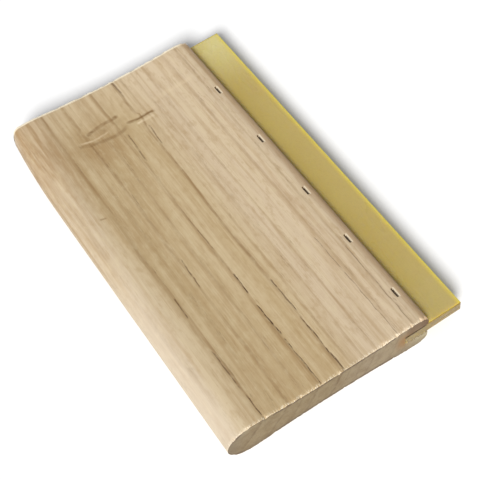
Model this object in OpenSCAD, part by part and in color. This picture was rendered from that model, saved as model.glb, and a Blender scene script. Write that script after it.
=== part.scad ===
// Hand squeegee: a shaped wooden handle with a slot along its front edge, and a
// polyurethane blade pressed into the slot and pinned by a row of narrow staples.
//
// Millimetres.  The squeegee lies on its side: +X runs along its length, +Y from
// the rounded grip to the blade's working edge, +Z up.  The origin is the middle
// of its footprint, on the surface that it lies on.

/* [Handle] */
// Length of the handle
handle_length = 240; // [180:10:400]
// Width of the handle, from the back of the grip to the mouth of the slot
handle_width = 125; // [110:1:140]
// Thickness of the board, left flat on the crown of the grip and over the slot
board_thickness = 24; // [22:0.5:28]
// Thickness at the waist, between the two flats
waist_thickness = 19.5; // [18:0.5:21]
// How far the round back of the grip reaches in
nose_depth = 14; // [12:1:20]
// Width of the flat on the crown of the grip
grip_flat = 5; // [3:1:10]
// Width of the flat over the slot
slot_flat = 6; // [3:1:10]
// How far the round-over at the mouth of the slot reaches in
roundover_depth = 7.5; // [7:0.5:12]
// Thickness of the handle at the mouth of the slot
mouth_thickness = 15; // [13:0.5:20]

/* [Slot] */
// Depth of the slot
slot_depth = 15; // [12:1:18]
// Gap over the blade at the mouth, which the tilted blade nearly closes
mouth_gap = 0.15; // [0.1:0.05:0.4]
// Gap over the blade at the bottom of the slot
bottom_gap = 0.9; // [0.5:0.1:1.4]

/* [Blade] */
// Width of the blade strip, the part in the slot included
blade_width = 36.5; // [32:0.5:44]
// Thickness of the blade strip
blade_thickness = 7; // [5:0.5:9]
// How far each end of the blade stands back from the end of the handle
blade_inset = 0; // [0:0.5:3]
// Share of the free lip that lies behind the line it bends about
bend_share = 0.15; // [0.1:0.01:0.3]
// Running gap round the knuckle that stands for the bend
bend_gap = 0.15; // [0.1:0.05:0.3]

/* [Staples] */
// Outside width of the staple's crown
crown_width = 5.8; // [5:0.1:8]
// Width of the staple's wire, across the handle
wire_width = 1.25; // [0.9:0.05:1.5]
// Thickness of the staple's wire
wire_thickness = 1; // [0.6:0.05:1.2]
// Length of the staple's legs, the crown included
leg_length = 19; // [17:0.5:20]
// Distance from the mouth of the slot to the row of staples
staple_setback = 6; // [4:0.5:7]
// Depth of the crown below the face of the wood
crown_sink = 1; // [0.3:0.1:1.5]

/* [Hidden] */
$fn = 96;

// Places of the hand-driven staples, as shares of the handle's length.
staple_shares = [-0.31, -0.12, 0.07, 0.235, 0.41];
// Length of the chisel point on each leg, and how wide the groove over a crown is.
point_length = 1.6;
groove_clearance = 0.15;
// Steps round the nose, along each side of the waist, and round the mouth.
nose_steps = 48;
waist_steps = 32;
mouth_steps = 16;
// How far a cutting shape runs past the face that it opens.
past = 1;

// The slot is cut about the middle of the board.  The blade stands in it at a slight
// tilt, with its lower corner on the slot's floor and its top near the mouth's roof.
mid_z = board_thickness / 2;
slot_height = blade_thickness + bottom_gap;
slot_floor_z = mid_z - slot_height / 2;
blade_tilt = atan((bottom_gap - mouth_gap) / slot_depth);
blade_length = handle_length - 2 * blade_inset;
root_setback = blade_thickness * sin(blade_tilt);
free_reach = root_setback + blade_width * cos(blade_tilt) - slot_depth;
back_y = -(handle_width + free_reach) / 2;
mouth_y = back_y + handle_width;
slot_bottom_y = mouth_y - slot_depth;
root_y = slot_bottom_y + root_setback;
// Distances along the strip from its root.
bend_reach = slot_depth + bend_share * (blade_width - slot_depth);
bend_radius = blade_thickness / 2;
staple_y = mouth_y - staple_setback;

// The waist is one long shallow arc between the two flats.
waist_start_y = back_y + nose_depth + grip_flat;
waist_end_y = mouth_y - roundover_depth - slot_flat;
waist_half_chord = (waist_end_y - waist_start_y) / 2;
waist_middle_y = (waist_start_y + waist_end_y) / 2;
waist_dip = (board_thickness - waist_thickness) / 2;
waist_radius = (pow(waist_half_chord, 2) + pow(waist_dip, 2)) / (2 * waist_dip);
waist_angle = asin(waist_half_chord / waist_radius);

// Height of the upper face above the middle of the board, at a distance in from
// the mouth that lies within the round-over.
cheek_rise = (board_thickness - mouth_thickness) / 2;
function cheek_height(inset) =
    mouth_thickness / 2 + cheek_rise * sqrt(1 - pow(1 - inset / roundover_depth, 2));
crown_top_z = mid_z + cheek_height(staple_setback) - crown_sink;

// Points of the upper half of the section, from the back to the mouth, as
// [y, height above the middle].
function nose_points() = [
    for (i = [0:nose_steps])
        let (a = 90 * i / nose_steps)
        [back_y + nose_depth * (1 - cos(a)), board_thickness / 2 * sin(a)]
];
function waist_points() = [
    for (i = [0:waist_steps])
        let (a = waist_angle * (2 * i / waist_steps - 1))
        [waist_middle_y + waist_radius * sin(a),
         waist_thickness / 2 + waist_radius * (1 - cos(a))]
];
function mouth_points() = [
    for (i = [0:mouth_steps])
        let (a = 90 * i / mouth_steps)
        [mouth_y - roundover_depth * (1 - sin(a)),
         mouth_thickness / 2 + cheek_rise * cos(a)]
];
function upper_points() = concat(nose_points(), waist_points(), mouth_points());
function lower_points() = [
    for (i = [len(upper_points()) - 1:-1:1])
        [upper_points()[i][0], -upper_points()[i][1]]
];

// A shape drawn in (y, height) and drawn out along X, centred on X = 0.
module along_x(length) {
    translate([-length / 2, 0, 0])
        rotate([90, 0, 90])
            linear_extrude(height = length)
                children();
}

module handle_section() {
    translate([0, mid_z])
        polygon(concat(upper_points(), lower_points()));
}

module slot_section() {
    translate([slot_bottom_y, slot_floor_z])
        square([slot_depth + past, slot_height]);
}

// A section drawn along the strip, from its root's lower corner, set into the slot.
module in_slot() {
    translate([root_y, slot_floor_z])
        rotate(blade_tilt)
            children();
}

// One leg, from the crown's top down to a point ground on its outer side.
module leg(side) {
    outer_x = side * crown_width / 2;
    inner_x = side * (crown_width / 2 - wire_thickness);
    translate([0, wire_width / 2, 0])
        rotate([90, 0, 0])
            linear_extrude(height = wire_width)
                polygon([
                    [outer_x, 0],
                    [inner_x, 0],
                    [inner_x, -leg_length],
                    [outer_x, point_length - leg_length]
                ]);
}

module staple_at(share) {
    translate([share * handle_length, staple_y, crown_top_z])
        union() {
            leg(1);
            leg(-1);
            translate([-crown_width / 2, -wire_width / 2, -wire_thickness])
                cube([crown_width, wire_width, wire_thickness]);
        }
}

// The groove that a driven crown leaves in the face of the wood.
module crown_groove(share) {
    groove_length = crown_width + 2 * groove_clearance;
    groove_width = wire_width + 2 * groove_clearance;
    translate([share * handle_length - groove_length / 2,
               staple_y - groove_width / 2,
               crown_top_z - wire_thickness])
        cube([groove_length, groove_width, wire_thickness + crown_sink + past]);
}

module handle() {
    color("burlywood")
        difference() {
            along_x(handle_length) handle_section();
            along_x(handle_length + 2 * past) slot_section();
            for (share = staple_shares) {
                staple_at(share);
                crown_groove(share);
            }
        }
}

// The part of the strip that the slot and the staples hold.
module blade_root() {
    color("darkkhaki")
        difference() {
            along_x(blade_length)
                in_slot()
                    square([bend_reach, blade_thickness]);
            along_x(handle_length)
                in_slot()
                    translate([bend_reach, bend_radius])
                        circle(r = bend_radius + bend_gap);
            for (share = staple_shares) staple_at(share);
        }
}

// The free part of the strip, with a round root on the line that it bends about.
module blade_lip() {
    color("khaki")
        along_x(blade_length)
            in_slot()
                union() {
                    translate([bend_reach, bend_radius])
                        circle(r = bend_radius);
                    translate([bend_reach, 0])
                        square([blade_width - bend_reach, blade_thickness]);
                }
}

module staple(index) {
    color("silver") staple_at(staple_shares[index]);
}

handle();
blade_root();
blade_lip();
staple(0);  // staple_1
staple(1);  // staple_2
staple(2);  // staple_3
staple(3);  // staple_4
staple(4);  // staple_5
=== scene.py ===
"""A hand squeegee lying on its side: a wooden handle, a polyurethane blade pressed into
its slot, and the staples that pin the blade.

Every object is in metres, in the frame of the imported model: +X along the squeegee, +Y
from the grip to the blade's working edge, +Z up. Sizes in this file are millimetres.
"""

import math

import bmesh
import bpy
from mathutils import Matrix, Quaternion, Vector, noise


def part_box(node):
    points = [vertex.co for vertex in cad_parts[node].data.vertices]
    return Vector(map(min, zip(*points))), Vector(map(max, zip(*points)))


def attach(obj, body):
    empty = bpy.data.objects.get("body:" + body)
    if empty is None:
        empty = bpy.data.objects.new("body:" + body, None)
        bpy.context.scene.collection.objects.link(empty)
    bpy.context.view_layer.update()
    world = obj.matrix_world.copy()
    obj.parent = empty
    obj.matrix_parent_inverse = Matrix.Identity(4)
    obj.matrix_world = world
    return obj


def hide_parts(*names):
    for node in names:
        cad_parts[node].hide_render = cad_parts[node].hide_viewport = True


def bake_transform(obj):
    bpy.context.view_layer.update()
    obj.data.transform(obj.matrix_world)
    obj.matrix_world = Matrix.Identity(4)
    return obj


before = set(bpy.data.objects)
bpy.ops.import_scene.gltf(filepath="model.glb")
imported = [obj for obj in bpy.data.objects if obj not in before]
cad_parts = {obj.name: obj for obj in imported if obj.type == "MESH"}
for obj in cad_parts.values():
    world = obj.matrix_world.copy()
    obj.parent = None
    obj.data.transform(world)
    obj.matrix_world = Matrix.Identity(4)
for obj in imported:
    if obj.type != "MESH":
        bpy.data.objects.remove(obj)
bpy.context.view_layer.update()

MM = 0.001


def node_box(name):
    """Lowest and highest corner of a CAD node, in millimetres."""
    low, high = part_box(name)
    return low / MM, high / MM


# ---------------------------------------------------------------- sizes

HANDLE_LOW, HANDLE_HIGH = node_box("handle")
ROOT_LOW, ROOT_HIGH = node_box("blade_root")
STAPLES = sorted(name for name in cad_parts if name.startswith("staple_"))

END_X = HANDLE_HIGH.x
BACK_Y = HANDLE_LOW.y
MOUTH_Y = HANDLE_HIGH.y
MID_Z = (HANDLE_LOW.z + HANDLE_HIGH.z) / 2
TOP_Z = HANDLE_HIGH.z

# The handle's section, from the round back to the mouth of the slot.
NOSE_DEPTH = 14
GRIP_FLAT = 5
WAIST_THICKNESS = 19.5
SLOT_FLAT = 6
ROUNDOVER_DEPTH = 7.5
MOUTH_THICKNESS = 15
SLOT_DEPTH = 15

# The blade's strip, and the gap over it at the bottom and the mouth of the slot.
BLADE_WIDTH = 36.5
BLADE_THICKNESS = 7
BOTTOM_GAP = 0.9
MOUTH_GAP = 0.15

# The staples' wire, the groove over each crown and the holes round the legs.
CROWN_WIDTH = 5.8
WIRE_WIDTH = 1.25
WIRE_THICKNESS = 1
POINT_LENGTH = 1.6
WIRE_BEND = 0.85
GROOVE_CLEARANCE = 0.15
GROOVE_FLARE = 0.25
LEG_CLEARANCE = 0.02

# The strip stands in the slot at a slight tilt, its lower corner on the slot's floor.
SLOT_Y = MOUTH_Y - SLOT_DEPTH
FLOOR_Z = ROOT_LOW.z
ROOF_Z = FLOOR_Z + BLADE_THICKNESS + BOTTOM_GAP
BLADE_TILT = math.atan((BOTTOM_GAP - MOUTH_GAP) / SLOT_DEPTH)
ROOT_Y = SLOT_Y + BLADE_THICKNESS * math.sin(BLADE_TILT)


def strip_place(along, through):
    """Y and Z of a point that far along the strip from its root, and up through it."""
    c, s = math.cos(BLADE_TILT), math.sin(BLADE_TILT)
    return ROOT_Y + along * c - through * s, FLOOR_Z + along * s + through * c


def place_in_strip(y, z):
    """The reverse of strip_place."""
    c, s = math.cos(BLADE_TILT), math.sin(BLADE_TILT)
    out, up = y - ROOT_Y, z - FLOOR_Z
    return out * c + up * s, up * c - out * s


# ---------------------------------------------------------------- the handle's section

FULL_HALF = (HANDLE_HIGH.z - HANDLE_LOW.z) / 2
WAIST_START = BACK_Y + NOSE_DEPTH + GRIP_FLAT
WAIST_END = MOUTH_Y - ROUNDOVER_DEPTH - SLOT_FLAT
WAIST_MIDDLE = (WAIST_START + WAIST_END) / 2
WAIST_DIP = FULL_HALF - WAIST_THICKNESS / 2
WAIST_RADIUS = (((WAIST_END - WAIST_START) / 2) ** 2 + WAIST_DIP ** 2) / (2 * WAIST_DIP)


def quarter(share):
    """Height of a quarter circle of radius 1, from 0 at share 0 to 1 at share 1."""
    return math.sqrt(max(0, 1 - (1 - share) ** 2))


def half_thickness(y):
    """Half the handle's thickness at a distance y along its width."""
    into_nose = (y - BACK_Y) / NOSE_DEPTH
    into_mouth = (MOUTH_Y - y) / ROUNDOVER_DEPTH
    if into_nose < 1:
        return FULL_HALF * quarter(into_nose)
    if into_mouth < 1:
        half_mouth = MOUTH_THICKNESS / 2
        return half_mouth + (FULL_HALF - half_mouth) * quarter(into_mouth)
    if WAIST_START < y < WAIST_END:
        reach = y - WAIST_MIDDLE
        return WAIST_THICKNESS / 2 + WAIST_RADIUS - math.sqrt(WAIST_RADIUS ** 2 - reach ** 2)
    return FULL_HALF


# ---------------------------------------------------------------- mesh helpers

def new_object(name, vertices, faces):
    """An object in the scene from points in millimetres and faces of point numbers."""
    mesh = bpy.data.meshes.new(name)
    mesh.from_pydata([Vector(v) * MM for v in vertices], [], faces)
    mesh.validate()
    thing = bpy.data.objects.new(name, mesh)
    bpy.context.scene.collection.objects.link(thing)
    return thing


def outward(thing):
    """Turns every face of a closed mesh to look outwards."""
    shape = bmesh.new()
    shape.from_mesh(thing.data)
    bmesh.ops.recalc_face_normals(shape, faces=shape.faces)
    shape.to_mesh(thing.data)
    shape.free()


def smooth(thing, angle=35):
    """Smooth shading, with edges sharper than the angle kept."""
    thing.data.shade_smooth()
    thing.data.set_sharp_from_angle(angle=math.radians(angle))


def apply_modifiers(thing):
    """Replaces the mesh by what its modifiers make of it."""
    graph = bpy.context.evaluated_depsgraph_get()
    made = bpy.data.meshes.new_from_object(thing.evaluated_get(graph))
    thing.modifiers.clear()
    old = thing.data
    thing.data = made
    bpy.data.meshes.remove(old)


def cut_out(thing, shapes):
    """Cuts closed shapes, each given as points and faces, out of an object."""
    cutter = new_object("cutter", *joined(shapes))
    outward(cutter)
    boolean = thing.modifiers.new("cut", "BOOLEAN")
    boolean.object = cutter
    boolean.operation = "DIFFERENCE"
    boolean.solver = "EXACT"
    boolean.use_self = False
    apply_modifiers(thing)
    bpy.data.objects.remove(cutter)


def prism(outline, low_z, high_z, flare=0):
    """Points and faces of an upright prism on an outline, wider by flare at its top."""
    count = len(outline)
    centre_x = sum(p[0] for p in outline) / count
    centre_y = sum(p[1] for p in outline) / count
    points = [(x, y, low_z) for x, y in outline]
    for x, y in outline:
        away = Vector((x - centre_x, y - centre_y)).normalized()
        points.append((x + away.x * flare, y + away.y * flare, high_z))
    sides = [(i, (i + 1) % count, count + (i + 1) % count, count + i) for i in range(count)]
    faces = sides + [tuple(range(count - 1, -1, -1)), tuple(range(count, 2 * count))]
    return points, faces


def joined(shapes):
    """Several (points, faces) pairs as one."""
    points, faces = [], []
    for more_points, more_faces in shapes:
        first = len(points)
        points += more_points
        faces += [tuple(first + i for i in face) for face in more_faces]
    return points, faces


def rough(place, size):
    """Smooth noise from -1 to 1 with features of about that size."""
    return noise.noise(Vector(place) / size)


# ---------------------------------------------------------------- staple places

def staple_place(name):
    """A staple's middle in X and Y, and its crown's top and its points' Z."""
    low, high = node_box(name)
    return (low.x + high.x) / 2, (low.y + high.y) / 2, high.z, low.z


STAPLE_PLACES = [staple_place(name) for name in STAPLES]
STAPLE_Y = STAPLE_PLACES[0][1]


def leg_holes():
    """Cutting shapes for the two legs of every staple."""
    shapes = []
    half_y = WIRE_WIDTH / 2 + LEG_CLEARANCE
    for x, y, top, low in STAPLE_PLACES:
        for side in (-1, 1):
            outer = x + side * (CROWN_WIDTH / 2 + LEG_CLEARANCE)
            inner = x + side * (CROWN_WIDTH / 2 - WIRE_THICKNESS - LEG_CLEARANCE)
            left, right = sorted((outer, inner))
            outline = [(left, y - half_y), (right, y - half_y),
                       (right, y + half_y), (left, y + half_y)]
            shapes.append(prism(outline, low - LEG_CLEARANCE, top - WIRE_THICKNESS / 2))
    return shapes


def crown_groove(place):
    """Cutting shape for the groove that a driven crown leaves, with crushed edges."""
    x, y, top, _ = place
    half_x = CROWN_WIDTH / 2 + GROOVE_CLEARANCE
    half_y = WIRE_WIDTH / 2 + GROOVE_CLEARANCE
    steps, squareness = 40, 0.28
    raggedness, ragged_size, ragged_seed = 0.07, 0.7, 5
    past = 2
    outline = []
    for i in range(steps):
        a = 2 * math.pi * i / steps
        c, s = math.cos(a), math.sin(a)
        px = x + half_x * math.copysign(abs(c) ** squareness, c)
        py = y + half_y * math.copysign(abs(s) ** squareness, s)
        ragged = raggedness * rough((px, py, ragged_seed), ragged_size)
        outline.append((px, py + ragged))
    return prism(outline, top - WIRE_THICKNESS, TOP_Z + past, flare=GROOVE_FLARE)


# ---------------------------------------------------------------- handle

# Steps of the handle's mesh along its width: the nose, the board, over the slot, the mouth.
NOSE_STEPS, BOARD_STEPS, CHEEK_STEPS, MOUTH_STEPS = 16, 82, 8, 14

# Steps of one column: under the slot, across it and over it.
LOWER_ROWS, SLOT_ROWS, UPPER_ROWS = 5, 6, 5
ROOF_ROW = LOWER_ROWS + SLOT_ROWS
TOP_ROW = ROOF_ROW + UPPER_ROWS

# How deep the worked surface lies under the true section.
SANDING_DEPTH, SANDING_SIZE = 0.05, 45
RIPPLE_DEPTH, RIPPLE_SIZE, RIPPLE_STRETCH = 0.02, 2.2, 14
STAPLE_DENT, STAPLE_DENT_X, STAPLE_DENT_Y = 0.22, 4, 1.7
BRANCH_DENT, BRANCH_DENT_X, BRANCH_DENT_END = 0.16, 1.6, 3

# Dents over the buried side branch: x, from y, to y.
BRANCH_DENTS = [(-85.5, -11, 7), (-92, -35, -13)]

# How far a chipped end is broken back, as shares of the chipping there: how deep the
# faces fall by the end and within what reach, how much deeper the end's own rim lies, and
# how far in from the end the rings are drawn back.
CHIP_FALL, CHIP_FALL_REACH = 0.25, 1.2
RIM_FALL = 0.7
DRAWN_BACK_REACH = 5

# The far end of the grip is rubbed away, more and more past this place.
WEAR_START, WEAR_LENGTH = -60, 60
NOSE_WEAR = 3.2
NOSE_SQUARENESS = 1.4


def spread(start, end, steps):
    """Evenly spaced values, the first one left out."""
    return [start + (end - start) * i / steps for i in range(1, steps + 1)]


def handle_columns():
    """Distances along the handle's width where its mesh has a column of points."""
    nose = [BACK_Y + NOSE_DEPTH * (1 - math.cos(math.pi / 2 * i / NOSE_STEPS))
            for i in range(NOSE_STEPS + 1)]
    middle = spread(nose[-1], SLOT_Y, BOARD_STEPS)
    over_slot = spread(SLOT_Y, MOUTH_Y - ROUNDOVER_DEPTH, CHEEK_STEPS)
    mouth = [MOUTH_Y - ROUNDOVER_DEPTH * (1 - math.sin(math.pi / 2 * i / MOUTH_STEPS))
             for i in range(1, MOUTH_STEPS + 1)]
    return nose + middle + over_slot + mouth


def column_heights(y):
    """Heights of one column's points, with rows along the slot's floor and roof."""
    low = MID_Z - half_thickness(y)
    high = MID_Z + half_thickness(y)
    if y >= SLOT_Y - 1e-6:
        floor, roof = FLOOR_Z, ROOF_Z
    else:
        floor, roof = low + (high - low) / 3, high - (high - low) / 3
    return ([low] + spread(low, floor, LOWER_ROWS) + spread(floor, roof, SLOT_ROWS)
            + spread(roof, high, UPPER_ROWS))


def handle_stations():
    """Places along the handle where its mesh has a ring, closer together by the staples."""
    coarse, fine, near_staple = 1.5, 0.6, 4.5
    end_insets = [0, 0.5, 1.2]
    last_start, last_kept = END_X - 2.2, END_X - 1.3
    stations = [-END_X + inset for inset in end_insets]
    while stations[-1] < last_start:
        x = stations[-1]
        by_staple = any(abs(x - place[0]) < near_staple for place in STAPLE_PLACES)
        stations.append(x + (fine if by_staple else coarse))
    kept = [x for x in stations if x < last_kept]
    return kept + [END_X - inset for inset in reversed(end_insets)]


def relief(x, y, z):
    """How far the worked surface lies under the true section: sanding and pressed wood."""
    depth = SANDING_DEPTH * (1 + rough((x, y * 1.5, z * 1.5), SANDING_SIZE))
    depth += RIPPLE_DEPTH * (1 + rough((x / RIPPLE_STRETCH, y, z), RIPPLE_SIZE))
    if z > MID_Z:
        for place in STAPLE_PLACES:
            off_x, off_y = (x - place[0]) / STAPLE_DENT_X, (y - place[1]) / STAPLE_DENT_Y
            depth += STAPLE_DENT * math.exp(-off_x ** 2 - off_y ** 2)
        for mark_x, low_y, high_y in BRANCH_DENTS:
            off_x = (x - mark_x) / BRANCH_DENT_X
            past_end = max(low_y - y, 0, y - high_y) / BRANCH_DENT_END
            depth += BRANCH_DENT * math.exp(-off_x ** 2 - past_end ** 2)
    return depth


def worn(x, y, z):
    """A point of the true shape, moved where the far end of the grip is rubbed square."""
    share = min(1, max(0, (WEAR_START - x) / WEAR_LENGTH)) ** 2
    reach = min(1, max(0, (WAIST_START - y) / (WAIST_START - BACK_Y)))
    reach = share * reach ** 2 * (3 - 2 * reach)
    off_middle = (z - MID_Z) / FULL_HALF
    fuller = off_middle * (1 + NOSE_SQUARENESS * reach * max(0, 1 - abs(off_middle)))
    return x, y + NOSE_WEAR * reach, MID_Z + FULL_HALF * fuller


def chipping(x, y, z):
    """Width of the broken edge at an end, most of it on top of the near end by the blade."""
    most = 2.2
    fine_tears = max(0, rough((x, y, z), 1.4))
    coarse_tears = max(0, rough((x, y + 40, z), 4))
    torn = fine_tears + 0.6 * coarse_tears
    if x > 0 and z > ROOF_Z:
        towards_blade = min(1, max(0, (y - 15) / 20))
        return min(0.2 + 1.9 * torn + 1.1 * towards_blade * (0.4 + torn), most)
    return min(0.15 + 0.9 * torn, most)


def saw_marks(side, y, z):
    """How far the sawn end lies under the true end."""
    least, stripe_depth, grit_depth = 0.03, 0.05, 0.05
    stripe = 0.5 + 0.5 * math.sin(2.6 * y + 0.5 * z + 2 * rough((side, y, z), 9))
    grit = (1 + rough((side * 9, y, z), 1.1)) / 2
    return least + stripe_depth * stripe + grit_depth * grit


def section_outline(columns, slot_column):
    """The section's outline as (column, row) pairs, once round from the back."""
    last = len(columns) - 1
    outline = [(0, 0)]
    outline += [(c, TOP_ROW) for c in range(1, last + 1)]
    outline += [(last, r) for r in range(TOP_ROW - 1, ROOF_ROW - 1, -1)]
    outline += [(c, ROOF_ROW) for c in range(last - 1, slot_column - 1, -1)]
    outline += [(slot_column, r) for r in range(ROOF_ROW - 1, LOWER_ROWS - 1, -1)]
    outline += [(c, LOWER_ROWS) for c in range(slot_column + 1, last + 1)]
    outline += [(last, r) for r in range(LOWER_ROWS - 1, -1, -1)]
    outline += [(c, 0) for c in range(last - 1, 0, -1)]
    return outline


def ways_in(flat, outline, slot_column):
    """At each point of the outline the way into the wood, or none on the slot's walls."""
    ways = []
    for i, (column, row) in enumerate(outline):
        before, after = flat[i - 1], flat[(i + 1) % len(flat)]
        tangent = Vector((after[0] - before[0], after[1] - before[1])).normalized()
        on_slot = column >= slot_column and LOWER_ROWS <= row <= ROOF_ROW
        ways.append(Vector((0, 0)) if on_slot else Vector((tangent.y, -tangent.x)))
    return ways


def ring_points(flat, ways):
    """Points of every ring along the handle. The first and last lie on the sawn faces."""
    places = [-END_X] + handle_stations() + [END_X]
    points = []
    for number, x in enumerate(places):
        side = math.copysign(1, x)
        from_end = END_X - abs(x)
        for (y, z), way in zip(flat, ways):
            chip = chipping(side * END_X, y, z)
            fall = CHIP_FALL * chip * math.exp(-from_end / CHIP_FALL_REACH)
            depth = relief(x, y, z) + fall
            if number in (0, len(places) - 1):
                depth += RIM_FALL * chip
                place_x = side * (END_X - saw_marks(side, y, z))
            else:
                drawn_back = chip * max(0, 1 - from_end / DRAWN_BACK_REACH) ** 2
                place_x = side * (END_X - from_end - drawn_back)
            move = way * depth
            points.append(worn(place_x, y + move.x, z + move.y))
    return points


def ring_faces(rings, count):
    """Faces between rings that have that many points each."""
    faces = []
    for ring in range(rings - 1):
        here, there = ring * count, (ring + 1) * count
        for i in range(count):
            j = (i + 1) % count
            faces.append((here + i, here + j, there + j, there + i))
    return faces


def close_end(side, first, columns, heights, slot_column, outline, points, faces):
    """Fills one sawn end with a grid, whose rim is the ring that starts at point first."""
    number = {key: first + i for i, key in enumerate(outline)}
    for c in range(1, len(columns)):
        for r in range(TOP_ROW + 1):
            open_slot = c > slot_column and LOWER_ROWS < r < ROOF_ROW
            if (c, r) not in number and not open_slot:
                number[(c, r)] = len(points)
                y, z = columns[c], heights[c][r]
                points.append(worn(side * (END_X - saw_marks(side, y, z)), y, z))
    for c in range(len(columns) - 1):
        for r in range(TOP_ROW):
            if c >= slot_column and LOWER_ROWS <= r < ROOF_ROW:
                continue
            corners = [(c, r), (c + 1, r), (c + 1, r + 1), (c, r + 1)]
            loop = [number[(0, 0) if key[0] == 0 else key] for key in corners]
            face = tuple(dict.fromkeys(loop))
            faces.append(face if side > 0 else face[::-1])


def handle_shape():
    """The handle as a loft of its section, with gridded ends."""
    columns = handle_columns()
    heights = [column_heights(y) for y in columns]
    slot_column = min(range(len(columns)), key=lambda c: abs(columns[c] - SLOT_Y))
    outline = section_outline(columns, slot_column)
    flat = [(columns[c], MID_Z if c == 0 else heights[c][r]) for c, r in outline]
    points = ring_points(flat, ways_in(flat, outline, slot_column))
    last_ring = len(points) - len(outline)
    faces = ring_faces(len(points) // len(outline), len(outline))
    for side, first in ((-1, 0), (1, last_ring)):
        close_end(side, first, columns, heights, slot_column, outline, points, faces)
    return points, faces


def mark_end_rims(handle):
    """Stores 1 on the outline of each sawn end and 0 elsewhere, for the wood's shader."""
    end_skin, rim_width, mouth_width = 0.14, 1.5, 0.3
    rim = handle.data.attributes.new("end_rim", "FLOAT", "POINT")
    for vertex, value in zip(handle.data.vertices, rim.data):
        x, y, z = vertex.co / MM
        on_end = END_X - abs(x) < end_skin
        by_outline = abs(z - MID_Z) > half_thickness(y) - rim_width or y > MOUTH_Y - mouth_width
        value.value = 1.0 if on_end and by_outline else 0.0


def make_handle(material):
    handle = new_object("wooden_handle", *handle_shape())
    outward(handle)
    cut_out(handle, [crown_groove(place) for place in STAPLE_PLACES])
    cut_out(handle, leg_holes())
    smooth(handle)
    mark_end_rims(handle)
    handle.data.materials.clear()
    handle.data.materials.append(material)
    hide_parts("handle")
    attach(handle, "handle")


# ---------------------------------------------------------------- blade

BLADE_STEPS = (120, 37, 6)
EASED_EDGE = 0.4
FACE_WAVER = 0.04
EDGE_WAVER = 0.03


def grid_box(low, high, steps):
    """A box whose faces are grids, with that many steps along X, Y and Z."""
    points, faces, number = [], [], {}

    def point(key):
        if key not in number:
            number[key] = len(points)
            points.append(tuple(low[a] + (high[a] - low[a]) * key[a] / steps[a]
                                for a in range(3)))
        return number[key]

    for axis in range(3):
        u, v = (axis + 1) % 3, (axis + 2) % 3
        for side in (0, steps[axis]):
            for i in range(steps[u]):
                for j in range(steps[v]):
                    corners = []
                    for di, dj in ((0, 0), (1, 0), (1, 1), (0, 1)):
                        key = [0, 0, 0]
                        key[axis], key[u], key[v] = side, i + di, j + dj
                        corners.append(point(tuple(key)))
                    faces.append(tuple(corners if side else corners[::-1]))
    return points, faces


def ease_edges(blade):
    """Rounds the strip's long and short edges a little."""
    bevel = blade.modifiers.new("eased edges", "BEVEL")
    bevel.width = EASED_EDGE * MM
    bevel.segments = 3
    bevel.limit_method = "ANGLE"
    bevel.angle_limit = math.radians(60)
    apply_modifiers(blade)


def set_in_slot(blade):
    """Moves a strip drawn flat into the slot, with the slight waver of a cut rubber."""
    for vertex in blade.data.vertices:
        x, along, through = vertex.co / MM
        free = min(1, max(0, (along - SLOT_DEPTH) / 3))
        inward = -math.copysign(1, through - BLADE_THICKNESS / 2)
        through += inward * free * FACE_WAVER * (1 + rough((x, along * 2, through), 25))
        if along > BLADE_WIDTH - 1:
            along -= EDGE_WAVER * (1 + rough((x, 0, through), 7))
        vertex.co = Vector((x, *strip_place(along, through))) * MM


def store_strip_places(blade):
    """Stores each point's place in the strip, so that the shader's pattern stays with the strip.
    """
    rest = blade.data.attributes.new("strip_place", "FLOAT_VECTOR", "POINT")
    for vertex, value in zip(blade.data.vertices, rest.data):
        x, y, z = vertex.co / MM
        value.vector = (x, *place_in_strip(y, z))


def make_blade(material):
    low = (ROOT_LOW.x, 0, 0)
    high = (ROOT_HIGH.x, BLADE_WIDTH, BLADE_THICKNESS)
    blade = new_object("polyurethane_blade", *grid_box(low, high, BLADE_STEPS))
    outward(blade)
    ease_edges(blade)
    set_in_slot(blade)
    cut_out(blade, leg_holes())
    smooth(blade)
    store_strip_places(blade)
    blade.data.materials.clear()
    blade.data.materials.append(material)
    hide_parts("blade_root", "blade_lip")
    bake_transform(blade)


# ---------------------------------------------------------------- staples

def wire_section():
    """The wire's rounded section, as places across the handle and through the crown."""
    corner, steps = 0.2, 3
    ring = []
    for quadrant in range(4):
        sign_u = 1 if quadrant in (0, 3) else -1
        sign_v = 1 if quadrant in (0, 1) else -1
        for i in range(steps + 1):
            a = math.pi / 2 * (quadrant + i / steps)
            u = sign_u * (WIRE_WIDTH / 2 - corner) + corner * math.cos(a)
            v = sign_v * (WIRE_THICKNESS / 2 - corner) + corner * math.sin(a)
            ring.append((u, v))
    return ring


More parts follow.
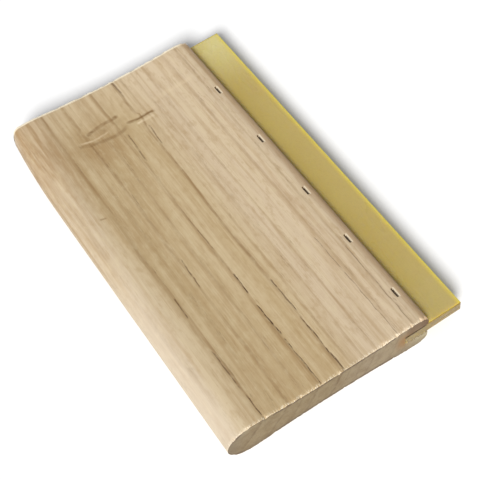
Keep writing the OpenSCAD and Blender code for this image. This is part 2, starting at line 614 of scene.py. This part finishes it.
def staple_shape(place):
    """One bent wire: a leg, a rounded corner, the crown, a corner and the other leg."""
    x, y, top, low = place
    half = WIRE_THICKNESS / 2
    reach = CROWN_WIDTH / 2 - half
    leg_steps, bend_steps, crown_steps = 8, 6, 6
    dent_depth, dent_size = 0.012, 0.8
    path = []
    corner_z = top - half - WIRE_BEND
    for i in range(leg_steps):
        path.append((-reach, low + (corner_z - low) * i / leg_steps, 180))
    for i in range(bend_steps + 1):
        a = math.radians(180 - 90 * i / bend_steps)
        path.append((-reach + WIRE_BEND + WIRE_BEND * math.cos(a),
                     corner_z + WIRE_BEND * math.sin(a), math.degrees(a)))
    straight = reach - WIRE_BEND
    path += [(-straight + 2 * straight * i / crown_steps, top - half, 90)
             for i in range(1, crown_steps)]
    path += [(-px, pz, 180 - a) for px, pz, a in
             reversed(path[:leg_steps + bend_steps + 1])]
    ring = wire_section()
    points, faces = [], []
    for number, (px, pz, facing) in enumerate(path):
        a = math.radians(facing)
        at_point = number in (0, len(path) - 1)
        for u, v in ring:
            lift = POINT_LENGTH * (v / WIRE_THICKNESS + 0.5) if at_point else 0
            dent = dent_depth * rough((x + px, v * 4, pz + u), dent_size)
            points.append((x + px + (v + dent) * math.cos(a), y + u,
                           pz + (v + dent) * math.sin(a) + lift))
    count = len(ring)
    for i in range(len(path) - 1):
        for j in range(count):
            k = (j + 1) % count
            here, there = i * count, (i + 1) * count
            faces.append((here + j, here + k, there + k, there + j))
    last = (len(path) - 1) * count
    faces.append(tuple(range(count - 1, -1, -1)))
    faces.append(tuple(range(last, last + count)))
    return points, faces


def make_staples(material):
    for name, place in zip(STAPLES, STAPLE_PLACES):
        staple = new_object("wire_" + name, *staple_shape(place))
        outward(staple)
        smooth(staple, angle=50)
        staple.data.materials.append(material)
        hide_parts(name)
        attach(staple, "handle")


# ---------------------------------------------------------------- shader helpers

def paint(red, green, blue):
    """A colour given on the 0 to 255 display scale, as linear light."""
    def linear(value):
        value /= 255
        return value / 12.92 if value <= 0.04045 else ((value + 0.055) / 1.055) ** 2.4
    return linear(red), linear(green), linear(blue), 1


class Graph:
    """A material's node tree, with a short call for each kind of node."""

    def __init__(self, name):
        self.material = bpy.data.materials.new(name)
        self.material.use_nodes = True
        self.tree = self.material.node_tree
        self.tree.nodes.clear()

    def node(self, kind, settings, inputs):
        """A node with those settings, and values or links for its inputs by name or number."""
        made = self.tree.nodes.new(kind)
        for key, value in settings.items():
            setattr(made, key, value)
        for key, value in inputs.items():
            if isinstance(value, bpy.types.NodeSocket):
                self.tree.links.new(value, made.inputs[key])
            else:
                made.inputs[key].default_value = value
        return made

    def coordinates(self, output):
        return self.node("ShaderNodeTexCoord", {}, {}).outputs[output]

    def attribute(self, name, output):
        """A value that the mesh stores at its points under that name."""
        return self.node("ShaderNodeAttribute", {"attribute_name": name}, {}).outputs[output]

    def object_place(self):
        """The place on the surface in the object's own frame, in millimetres."""
        inputs = {0: self.coordinates("Object"), "Scale": 1 / MM}
        return self.node("ShaderNodeVectorMath", {"operation": "SCALE"}, inputs).outputs[0]

    def math(self, operation, a, b=None, c=None):
        inputs = {i: v for i, v in enumerate((a, b, c)) if v is not None}
        return self.node("ShaderNodeMath", {"operation": operation}, inputs).outputs[0]

    def add(self, a, b):
        return self.math("ADD", a, b)

    def less(self, a, b):
        return self.math("SUBTRACT", a, b)

    def times(self, a, b):
        return self.math("MULTIPLY", a, b)

    def size(self, a):
        return self.math("ABSOLUTE", a)

    def largest(self, values):
        values = list(values)
        result = values[0]
        for value in values[1:]:
            result = self.math("MAXIMUM", result, value)
        return result

    def ramp(self, value, start, end, low=0.0, high=1.0):
        """Goes smoothly from low to high as value goes from start to end."""
        inputs = {0: value, 1: start, 2: end, 3: low, 4: high}
        settings = {"interpolation_type": "SMOOTHSTEP"}
        return self.node("ShaderNodeMapRange", settings, inputs).outputs[0]

    def fall(self, value, start, end, high=1.0):
        """Goes smoothly from high to 0 as value goes from start to end."""
        return self.ramp(value, start, end, high, 0.0)

    def line(self, value, start, end, low, high):
        """Goes straight from low to high as value goes from start to end, and on."""
        inputs = {0: value, 1: start, 2: end, 3: low, 4: high}
        return self.node("ShaderNodeMapRange", {"clamp": False}, inputs).outputs[0]

    def hill(self, value, centre, width):
        """1 at the centre, falling to 0 over the width on both sides."""
        return self.fall(self.size(self.less(value, centre)), 0, width)

    def vector(self, operation, a, b):
        made = self.node("ShaderNodeVectorMath", {"operation": operation}, {0: a, 1: b})
        return made.outputs[0]

    def split(self, vector):
        return self.node("ShaderNodeSeparateXYZ", {}, {0: vector}).outputs

    def noise(self, place, size, seed, detail=2, roughness=0.5):
        """Noise about 0.5 whose features have that size along X, Y and Z."""
        stretched = self.vector("MULTIPLY", place, tuple(1 / s for s in size))
        moved = self.vector("ADD", stretched, (seed * 7.3, seed * 3.1, seed * 5.7))
        inputs = {"Vector": moved, "Scale": 1.0, "Detail": detail, "Roughness": roughness}
        return self.node("ShaderNodeTexNoise", {}, inputs).outputs[0]

    def drift(self, place, size, seed, detail=2):
        """The same kind of noise about 0."""
        return self.less(self.noise(place, size, seed, detail=detail), 0.5)

    def mix(self, share, a, b, kind="MIX"):
        settings = {"data_type": "RGBA", "blend_type": kind, "clamp_factor": True}
        return self.node("ShaderNodeMix", settings, {0: share, 6: a, 7: b}).outputs[2]

    def bump(self, height, distance):
        inputs = {"Height": height, "Distance": distance * MM}
        return self.node("ShaderNodeBump", {}, inputs).outputs[0]

    def finish(self, **inputs):
        """A Principled surface with those inputs, as the material's output."""
        named = {key.replace("_", " "): value for key, value in inputs.items()}
        shader = self.node("ShaderNodeBsdfPrincipled", {}, named)
        output = self.tree.nodes.new("ShaderNodeOutputMaterial")
        self.tree.links.new(shader.outputs[0], output.inputs[0])
        return self.material


# ---------------------------------------------------------------- wood

# The tree's heart lies off the grip side, above the board, so the rings cross the
# section steeply. Each late-wood line: where it meets the upper face, width, strength.
PITH_Y, PITH_Z = -129, 67
RING_LINES = [
    (-66, 3.5, 0.35), (-51, 2.6, 0.7), (-43, 4, 0.2), (-35.5, 2.2, 0.55),
    (-25.5, 2.6, 0.4), (-16.5, 2.4, 0.6), (-2, 2.2, 0.8), (3.5, 1.6, 0.3),
    (11, 1.8, 0.3), (18.5, 1.8, 0.35), (33.5, 2, 0.4), (41.5, 1.6, 0.35),
    (53, 3, 0.5), (64, 3, 0.5),
]

# Fine cracks and dark pores along the grain on the upper face:
# from x, to x, y at the start, y at the end, half width, strength.
CRACKS = [
    (38, 54, -16.6, -17, 0.34, 1), (61, 85, -17.2, -16.4, 0.32, 0.9),
    (86, 121, -16.6, -16.2, 0.3, 0.7), (-79, -54, -14.6, -15.8, 0.5, 0.5),
    (-10, 20, -17.4, -17, 0.3, 0.35), (52, 78, -2.4, -2, 0.34, 0.6),
    (80, 121, -2.6, -1.8, 0.38, 0.75), (-121, -104, -2.6, -2, 0.45, 0.45),
    (-78, -60, -1, -1.6, 0.4, 0.5), (14, 37, -35.2, -36.2, 0.32, 0.55),
    (-40, -20, -35, -35.4, 0.3, 0.3), (34, 50, -51.2, -51.6, 0.34, 0.6),
    (72, 100, -52, -51.6, 0.34, 0.5), (103, 121, -51.2, -50.6, 0.36, 0.6),
    (58, 121, 41.6, 41.8, 0.25, 0.4), (44, 121, 31.6, 32, 0.25, 0.4),
]

# Dark and pale marks of a buried side branch, across the grain:
# from y, to y, x at the start, x at the end, bow towards -x, half width, strength.
BRANCH_SHADES = [
    (-12, 8, -85.6, -85, 0.3, 0.9, 0.62), (-36, -12, -90.2, -93.6, 1.2, 1.1, 0.62),
    (-44, -12, -85.4, -83, -3, 1.2, 0.34), (-59, -55, -32, -31.6, 0, 0.6, 0.35),
]
BRANCH_LIGHTS = [
    (-7, 6, -82.4, -82.2, 0.2, 0.9, 0.5), (-43, -22, -87.6, -87, -2.2, 0.8, 0.36),
    (10, 45, -92, -93, 0, 1.4, 0.2),
]

# The wood's colours: broad tones, grain, marks, painted light and painted shade, and the two tints
# that it is multiplied by (the end grain's own darker tint deepened by painted shade).
CREAM, YELLOW, PINK = paint(192, 175, 150), paint(183, 160, 121), paint(199, 179, 151)
BROAD_PALE, BROAD_DARK = paint(206, 187, 152), paint(168, 143, 103)
FAR_PAINTED_LIGHT, NOSE_PAINTED_LIGHT = paint(214, 194, 164), paint(218, 205, 186)
BRANCH_BROWN = paint(158, 127, 86)
GRIP_STAIN, GRIP_STREAK = paint(176, 147, 110), paint(156, 126, 88)
LATE_WOOD, BAND, PORE = paint(136, 106, 68), paint(160, 130, 90), paint(118, 90, 58)
MOTTLE_DARK, MOTTLE_PALE = paint(158, 129, 86), paint(204, 188, 152)
FIBRE_DARK, FIBRE_PALE = paint(152, 124, 86), paint(210, 193, 162)
BRANCH_SHADE, BRANCH_LIGHT = paint(122, 92, 54), paint(218, 198, 164)
CRACK = paint(74, 44, 18)
END_PORE, END_SHADE, END_RIM_DARK = paint(92, 76, 54), paint(96, 80, 58), paint(78, 58, 38)
SLOT_END_SHADE, SLOT_SHADE = paint(132, 92, 38), paint(74, 54, 34)
UPPER_CHEEK_SHADE, LOWER_CHEEK_LIGHT = paint(98, 72, 44), paint(170, 158, 124)
TORN_FIBRE_AND_HIGHLIGHT, CRUSHED_FIBRE_AND_LIT_WALL = paint(236, 225, 200), paint(250, 240, 214)
END_TINT_AND_SHADE, MOUTH_ROUNDOVER_TINT = paint(174, 171, 161), paint(238, 226, 214)


def ring_radius(y):
    """Distance from the tree's heart of a point y on the upper face."""
    return math.hypot(y - PITH_Y, TOP_Z - PITH_Z)


def along_grain(crack):
    """A crack's numbers as stroke() takes them, with no bow."""
    return (*crack[:4], 0, *crack[4:])


class Wood(Graph):
    """The board's wood. Its layers share places, the drift of its grain and some masks."""

    def __init__(self):
        super().__init__("paulownia_wood")
        self.place = self.object_place()
        self.x, self.y, self.z = self.split(self.place)
        self.wander = self.drift(self.place, (70, 16, 16), 1)
        self.fine_wander = self.drift(self.place, (9, 3, 3), 2, detail=3)
        self.swirl = self.drift(self.place, (11, 13, 13), 3)
        self.near_top = self.ramp(self.z, 18, 21)
        self.end_on = self.ramp(self.size(self.split(self.coordinates("Normal"))[0]), 0.72, 0.93)
        self.off_end = self.less(1, self.end_on)

    def ring_distance(self):
        """Distance from the heart, wandering a little and drawn aside by the branch."""
        off_y, off_z = self.less(self.y, PITH_Y), self.less(self.z, PITH_Z)
        radius = self.math("SQRT", self.add(self.times(off_y, off_y), self.times(off_z, off_z)))
        across = self.times(self.ramp(self.y, -52, -36), self.fall(self.y, 2, 16))
        by_branch = self.times(self.hill(self.x, -88, 15), across)
        ring = self.math("MULTIPLY_ADD", self.wander, 3.4, radius)
        ring = self.math("MULTIPLY_ADD", self.fine_wander, 0.9, ring)
        return self.math("MULTIPLY_ADD", self.times(by_branch, self.swirl), 11, ring)

    def growth_lines(self, ring):
        """The late wood up to each growth line, and the large pores about it."""
        lines, pore_zones = [], []
        for line_y, width, strength in RING_LINES:
            beyond = self.less(ring, ring_radius(line_y))
            late = self.ramp(beyond, -width, -0.2, 0.0, strength)
            lines.append(self.times(late, self.fall(beyond, 0.1, 0.7)))
            pore_zones.append(self.times(self.ramp(beyond, -1.6, 0), self.fall(beyond, 0.4, 4)))
        patches = self.noise(self.place, (34, 2.2, 2.2), 4, detail=3)
        late_wood = self.times(self.largest(lines), self.ramp(patches, 0.34, 0.66, 0.35, 1.15))
        return late_wood, self.largest(pore_zones)

    def tones(self, ring):
        """Cream sapwood by the grip, yellower in the middle, pinker by the blade."""
        zone = self.math("MULTIPLY_ADD", self.drift(self.place, (160, 22, 22), 5), 22, ring)
        colour = self.mix(self.ramp(zone, ring_radius(-68), ring_radius(-48)), CREAM, YELLOW)
        colour = self.mix(self.ramp(zone, ring_radius(-8), ring_radius(18)), colour, PINK)
        broad = self.noise(self.place, (120, 7, 7), 6)
        colour = self.mix(self.ramp(broad, 0.35, 0.7, 0.0, 0.45), colour, BROAD_PALE)
        colour = self.mix(self.ramp(broad, 0.5, 0.25, 0.0, 0.4), colour, BROAD_DARK)
        # Painted light: the wood lighter towards the far end.
        return self.mix(self.fall(self.x, -121, -80, 0.4), colour, FAR_PAINTED_LIGHT)

    def stains(self, colour):
        """A brown patch by the branch, and a streaky stain at the far end of the grip."""
        patch = self.times(self.hill(self.add(self.x, self.times(self.swirl, 14)), -80, 22),
                           self.hill(self.add(self.y, self.times(self.wander, 16)), -34, 26))
        colour = self.mix(self.times(patch, 0.62), colour, BRANCH_BROWN)
        stained = self.times(self.fall(self.x, -95, -40), self.fall(self.y, -60, -44))
        colour = self.mix(self.times(stained, 0.45), colour, GRIP_STAIN)
        streaky = self.ramp(self.noise(self.place, (26, 1.9, 4), 12, detail=3), 0.42, 0.6)
        return self.mix(self.times(self.times(stained, streaky), 0.6), colour, GRIP_STREAK)

    def grain(self, colour, late_wood):
        """The late wood, soft bands along the board and a fine mottle."""
        colour = self.mix(self.times(late_wood, 0.88), colour, LATE_WOOD)
        bands = self.noise(self.place, (55, 2.6, 2.6), 15, detail=3)
        colour = self.mix(self.ramp(bands, 0.46, 0.66, 0.0, 0.32), colour, BAND)
        mottle = self.noise(self.place, (7, 3, 3), 17, detail=4, roughness=0.65)
        colour = self.mix(self.ramp(mottle, 0.5, 0.7, 0.0, 0.3), colour, MOTTLE_DARK)
        return self.mix(self.ramp(mottle, 0.5, 0.3, 0.0, 0.28), colour, MOTTLE_PALE)

    def fibres_and_pores(self, colour, pore_zone):
        """The colour with fine fibres and pores, and both again for the relief."""
        on_face = self.less(1, self.times(self.end_on, 0.75))
        fibres = self.noise(self.place, (26, 0.55, 0.55), 7, detail=4, roughness=0.65)
        dark = self.times(self.ramp(fibres, 0.5, 0.78, 0.0, 0.34), on_face)
        pale = self.times(self.ramp(fibres, 0.5, 0.25, 0.0, 0.28), on_face)
        colour = self.mix(pale, self.mix(dark, colour, FIBRE_DARK), FIBRE_PALE)
        pitted = self.noise(self.place, (5, 0.26, 0.26), 8, detail=3)
        patchy = self.ramp(self.noise(self.place, (22, 5, 5), 13), 0.4, 0.65, 0.15, 1.0)
        sparse = self.ramp(pitted, 0.62, 0.76, 0.0, 0.22)
        dense = self.times(self.times(self.ramp(pitted, 0.54, 0.7), pore_zone), patchy)
        pores = self.times(self.largest([sparse, self.times(dense, 0.5)]), on_face)
        return self.mix(pores, colour, PORE), fibres, pores

    def stroke(self, along, across, mark, wobble):
        """1 on a thin mark from along = start to end, whose place across drifts and bows."""
        start, end, at_start, at_end, bow, half, strength = mark
        share = self.line(along, start, end, 0.0, 1.0)
        ideal = self.line(share, 0, 1, at_start, at_end)
        if bow:
            arch = self.times(share, self.less(1, share))
            ideal = self.math("MULTIPLY_ADD", arch, -4 * bow, ideal)
        off = self.size(self.add(self.less(across, ideal), wobble))
        fade = min(0.12, 2.5 / (end - start))
        ends = self.times(self.ramp(share, 0.0, fade), self.fall(share, 1 - fade, 1.0))
        return self.times(self.fall(off, half * 0.3, half * 1.6, strength), ends)

    def marks(self, colour):
        """The colour with the branch marks and the cracks, and the cracks for the relief."""
        soft_wobble = self.times(self.swirl, 3)
        uneven = self.ramp(self.noise(self.place, (2.5, 5, 3), 16), 0.3, 0.6, 0.6, 1.35)
        uneven = self.times(uneven, self.near_top)
        for marks, tint in ((BRANCH_SHADES, BRANCH_SHADE), (BRANCH_LIGHTS, BRANCH_LIGHT)):
            drawn = self.largest(self.stroke(self.y, self.x, m, soft_wobble) for m in marks)
            colour = self.mix(self.times(drawn, uneven), colour, tint)
        wobble = self.times(self.fine_wander, 1.6)
        cracks = self.largest(self.stroke(self.x, self.y, along_grain(crack), wobble)
                              for crack in CRACKS)
        pieces = self.noise(self.place, (3.5, 0.7, 0.7), 9, detail=3)
        cracks = self.times(cracks, self.ramp(pieces, 0.36, 0.55, 0.25, 1.0))
        cracks = self.times(cracks, self.near_top)
        return self.mix(cracks, colour, CRACK), cracks

    def end_grain(self, colour):
        """The colour on the sawn ends, with painted shade and painted light on them, and the open
        pores there for the relief.
        """
        # The end grain's own darker colour, deepened by painted shade.
        colour = self.mix(1.0, colour, END_TINT_AND_SHADE, "MULTIPLY")
        pores = self.ramp(self.noise(self.place, (3, 0.5, 0.5), 10), 0.5, 0.75)
        colour = self.mix(self.times(pores, 0.25), colour, END_PORE)
        # Darker in patches along the outline of each sawn end.
        rim_patches = self.ramp(self.noise(self.place, (2, 1.8, 1.8), 14), 0.3, 0.6, 0.25, 0.85)
        rim = self.ramp(self.attribute("end_rim", "Fac"), 0.15, 0.8)
        colour = self.mix(self.times(rim, rim_patches), colour, END_RIM_DARK)
        # Painted shade, amber brown, on the ends about the bottom of the slot, where the gap lies
        # in shade.
        stain = self.times(self.hill(self.y, SLOT_Y, 8), self.hill(self.z, MID_Z + 1, 10))
        colour = self.mix(self.times(stain, 0.85), colour, SLOT_END_SHADE)
        # Painted shade on the upper cheek's end, over the slot.
        upper = self.times(self.ramp(self.y, SLOT_Y - 2, SLOT_Y + 4),
                           self.ramp(self.z, ROOF_Z - 1, ROOF_Z + 1))
        colour = self.mix(self.times(upper, 0.75), colour, UPPER_CHEEK_SHADE)
        # Painted light: a pale patch on the lower cheek's end, where light passing through the
        # blade falls.
        wandering_y = self.math("MULTIPLY_ADD", self.fine_wander, 6, self.y)
        lower = self.times(self.ramp(wandering_y, SLOT_Y - 3, MOUTH_Y),
                           self.fall(self.z, FLOOR_Z - 1, FLOOR_Z + 1))
        colour = self.mix(self.times(lower, 0.6), colour, LOWER_CHEEK_LIGHT)
        shade = self.largest([self.fall(self.z, 2, 7, 0.4), self.fall(self.y, -72, -62, 0.45)])
        return self.mix(shade, colour, END_SHADE), pores

    def slot_inside(self, colour):
        """The walls of the slot, darkened with painted shade."""
        half_open = (ROOF_Z - FLOOR_Z) / 2
        inside = self.times(self.ramp(self.y, SLOT_Y - 0.3, SLOT_Y),
                            self.hill(self.z, MID_Z, half_open + 0.4))
        inside = self.times(self.ramp(inside, 0.0, 0.01), self.off_end)
        return self.mix(self.times(inside, 0.8), colour, SLOT_SHADE)

    def torn_edges(self, colour):
        """Pale fibres torn by the saw on the last millimetres of the faces, paler in their own
        colour and with a painted highlight where the broken edges catch the light.
        """
        torn = self.noise(self.place, (1.6, 0.5, 0.9), 11, detail=3)
        to_end = self.less(END_X, self.size(self.x))
        ragged = self.times(self.fall(to_end, 0.2, 2.2), self.ramp(torn, 0.48, 0.6))
        far_line = self.fall(self.x, 1.1 - END_X, 1.7 - END_X)
        far_line = self.times(self.times(far_line, self.ramp(torn, 0.3, 0.45)), self.near_top)
        pale = self.largest([self.times(ragged, 0.65), self.times(far_line, 0.9)])
        return self.mix(self.times(pale, self.off_end), colour, TORN_FIBRE_AND_HIGHLIGHT)

    def crushed_and_lit_groove_edges(self, colour):
        """Pale broken fibres on the blade's side of each staple's groove, with painted light on
        that lit wall of the groove.
        """
        edge_y = STAPLE_Y + WIRE_WIDTH / 2 + GROOVE_CLEARANCE + GROOVE_FLARE
        across = self.times(self.hill(self.y, edge_y, 0.8), self.ramp(self.z, MID_Z, MID_Z + 4))
        half = CROWN_WIDTH / 2
        offs = [self.size(self.less(self.x, place[0])) for place in STAPLE_PLACES]
        along = self.largest(self.fall(off, half, half + 0.8, 0.75) for off in offs)
        return self.mix(self.times(across, along), colour, CRUSHED_FIBRE_AND_LIT_WALL)

    def surface(self):
        """The finished material, from the broad tones to the relief."""
        ring = self.ring_distance()
        late_wood, pore_zone = self.growth_lines(ring)
        colour = self.grain(self.stains(self.tones(ring)), late_wood)
        colour, fibres, pores = self.fibres_and_pores(colour, pore_zone)
        colour, cracks = self.marks(colour)
        end_colour, end_pores = self.end_grain(colour)
        # Painted light on the grip's nose, paler towards the near end.
        nose = self.times(self.fall(self.y, -70, -62, 0.4), self.ramp(self.x, -30, 50))
        colour = self.mix(nose, colour, NOSE_PAINTED_LIGHT)
        colour = self.mix(self.end_on, colour, end_colour)
        colour = self.crushed_and_lit_groove_edges(self.torn_edges(self.slot_inside(colour)))
        # Darker and browner on the round-over by the mouth.
        roundover_darkening = self.times(self.ramp(self.y, MOUTH_Y - 6.5, MOUTH_Y - 3),
                             self.ramp(self.z, MID_Z, MID_Z + 2))
        colour = self.mix(roundover_darkening, colour, MOUTH_ROUNDOVER_TINT, "MULTIPLY")

        open_grain = self.add(self.times(fibres, 0.5), self.times(pores, 0.5))
        height = self.math("MULTIPLY_ADD", fibres, 0.35, self.times(late_wood, 0.25))
        height = self.less(height, self.times(pores, 0.7))
        height = self.less(height, self.times(cracks, 1.6))
        height = self.times(height, self.less(1, self.times(self.end_on, 0.85)))
        height = self.less(height, self.times(self.times(end_pores, self.end_on), 0.15))
        return self.finish(Base_Color=colour, Roughness=self.ramp(open_grain, 0.1, 0.7, 0.5, 0.78),
                           Normal=self.bump(height, 0.16), Specular_IOR_Level=0.3)


# ---------------------------------------------------------------- polyurethane

URETHANE_SHADE_IN, URETHANE_OUT = paint(176, 155, 83), paint(184, 164, 100)
URETHANE_FAR_LIGHT, URETHANE_NEAR = paint(210, 200, 142), paint(186, 172, 116)
URETHANE_MOUTH_LIGHT, URETHANE_EDGE_HIGHLIGHT = paint(208, 186, 112), paint(212, 194, 84)
URETHANE_END_HIGHLIGHT, URETHANE_END_SHADE = paint(198, 178, 72), paint(118, 94, 38)
URETHANE_GRAIN, URETHANE_SLOT_SHADE = paint(140, 122, 64), paint(60, 42, 24)


def polyurethane_material():
    g = Graph("polyurethane")
    place = g.attribute("strip_place", "Vector")
    x, along, through = g.split(place)
    cloud = g.noise(place, (60, 14, 6), 1)
    grain = g.noise(place, (1.2, 1.2, 1.2), 2, detail=3)

    # From the mouth of the slot outwards: painted shade darkest by the wood and fading outwards,
    # painted light brighter at the far end, and a band of painted light just outside the mouth.
    out = g.add(along, g.times(g.less(cloud, 0.5), 5))
    outwards = g.ramp(out, SLOT_DEPTH - 1, BLADE_WIDTH - 4)
    colour = g.mix(outwards, URETHANE_SHADE_IN, URETHANE_OUT)
    far_painted_light = g.times(g.fall(x, -118, -70, 0.85),
                       g.ramp(out, SLOT_DEPTH - 2, BLADE_WIDTH - 8, 0.35, 1.0))
    colour = g.mix(far_painted_light, colour, URETHANE_FAR_LIGHT)
    colour = g.mix(g.ramp(x, 70, 118, 0.0, 0.4), colour, URETHANE_NEAR)
    mouth_painted_light = g.times(g.hill(along, SLOT_DEPTH + 1.5, 4), 0.55)
    colour = g.mix(mouth_painted_light, colour, URETHANE_MOUTH_LIGHT)

    # Painted highlights along the working edge and along the edges by the ends. Painted shade on
    # the end faces, and on the top face inside the slot.
    edge = g.ramp(along, BLADE_WIDTH - 3.5, BLADE_WIDTH - 0.4, 0.0, 0.75)
    colour = g.mix(edge, colour, URETHANE_EDGE_HIGHLIGHT)
    to_end = g.less(END_X, g.size(x))
    colour = g.mix(g.fall(to_end, 0.2, 1.4, 0.5), colour, URETHANE_END_HIGHLIGHT)
    colour = g.mix(g.fall(to_end, 0.2, 0.5, 0.9), colour, URETHANE_END_SHADE)
    colour = g.mix(g.ramp(grain, 0.45, 0.7, 0.0, 0.1), colour, URETHANE_GRAIN)
    in_slot_shade = g.times(g.fall(along, SLOT_DEPTH - 2, SLOT_DEPTH - 0.5),
                     g.ramp(through, BLADE_THICKNESS - 1, BLADE_THICKNESS - 0.6))
    colour = g.mix(g.times(in_slot_shade, 0.9), colour, URETHANE_SLOT_SHADE)

    roughness = g.ramp(cloud, 0.3, 0.7, 0.26, 0.4)
    height = g.add(g.times(g.noise(place, (40, 3, 3), 3), 0.6), g.times(grain, 0.12))
    return g.finish(Base_Color=colour, Roughness=roughness, Normal=g.bump(height, 0.08),
                    Subsurface_Weight=0.85, Subsurface_Radius=(1.0, 0.8, 0.25),
                    Subsurface_Scale=5 * MM, IOR=1.5, Specular_IOR_Level=0.5)


# ---------------------------------------------------------------- staple wire

ZINC_DARK, ZINC_PALE, ZINC_SCORED = paint(92, 78, 66), paint(136, 120, 104), paint(72, 58, 46)


def wire_material():
    g = Graph("galvanised_wire")
    place = g.object_place()
    spangle = g.noise(place, (0.7, 0.7, 0.7), 1, detail=3)
    drawn = g.noise(place, (2.4, 0.12, 2.4), 2)
    colour = g.mix(g.ramp(spangle, 0.35, 0.65), ZINC_DARK, ZINC_PALE)
    colour = g.mix(g.ramp(drawn, 0.5, 0.8, 0.0, 0.5), colour, ZINC_SCORED)
    roughness = g.ramp(g.add(g.times(spangle, 0.6), g.times(drawn, 0.4)), 0.3, 0.7, 0.32, 0.55)
    return g.finish(Base_Color=colour, Roughness=roughness, Normal=g.bump(drawn, 0.03),
                    Metallic=1.0)


# ---------------------------------------------------------------- stage

def make_floor():
    g = Graph("pale_floor")
    mottle = g.noise(g.coordinates("Object"), (0.08, 0.08, 0.08), 1)
    colour = g.mix(mottle, paint(247, 247, 247), paint(250, 250, 250))
    material = g.finish(Base_Color=colour, Roughness=0.9, Specular_IOR_Level=0.1)
    reach = 3000
    corners = [(-reach, -reach, 0), (reach, -reach, 0), (reach, reach, 0), (-reach, reach, 0)]
    floor = new_object("floor", corners, [(0, 1, 2, 3)])
    floor.data.materials.append(material)


def direction(azimuth, elevation):
    """The way from the object to a place at those angles in degrees. Azimuth 0 is at -Y."""
    a, e = math.radians(azimuth), math.radians(elevation)
    return Vector((math.sin(a) * math.cos(e), -math.cos(a) * math.cos(e), math.sin(e)))


def put_in_scene(thing, away, roll=0):
    """Adds a light or camera, which looks back along that way, turned about it by roll."""
    turned = Quaternion((0, 0, 1), math.radians(roll))
    thing.rotation_mode = "QUATERNION"
    thing.rotation_quaternion = (-away).to_track_quat("-Z", "Y") @ turned
    bpy.context.scene.collection.objects.link(thing)


def make_lights():
    """A bright, even room, and one wide soft lamp far off, over the near grip corner."""
    world = bpy.data.worlds.new("studio")
    bpy.context.scene.world = world
    world.use_nodes = True
    background = world.node_tree.nodes["Background"]
    background.inputs["Color"].default_value = (1, 1, 1, 1)
    background.inputs["Strength"].default_value = 0.33
    data = bpy.data.lights.new("key", "SUN")
    data.energy = 4.05
    data.angle = math.radians(19)
    put_in_scene(bpy.data.objects.new("key", data), direction(azimuth=52, elevation=39))
    bpy.context.scene.view_settings.view_transform = "Standard"


def make_camera():
    """The camera, by the point that it looks at, where it stands from it, and its roll."""
    aim = Vector((16.5, 1.2, MID_Z))
    distance = 676.6
    away = direction(azimuth=61.85, elevation=55.56)
    data = bpy.data.cameras.new("camera")
    data.sensor_width = 36
    data.lens = 91.4
    camera = bpy.data.objects.new("camera", data)
    camera.location = (aim + away * distance) * MM
    put_in_scene(camera, away, roll=-5.95)
    bpy.context.scene.camera = camera


# ---------------------------------------------------------------- the scene

make_camera()
make_handle(Wood().surface())
make_blade(polyurethane_material())
make_staples(wire_material())
make_floor()
make_lights()
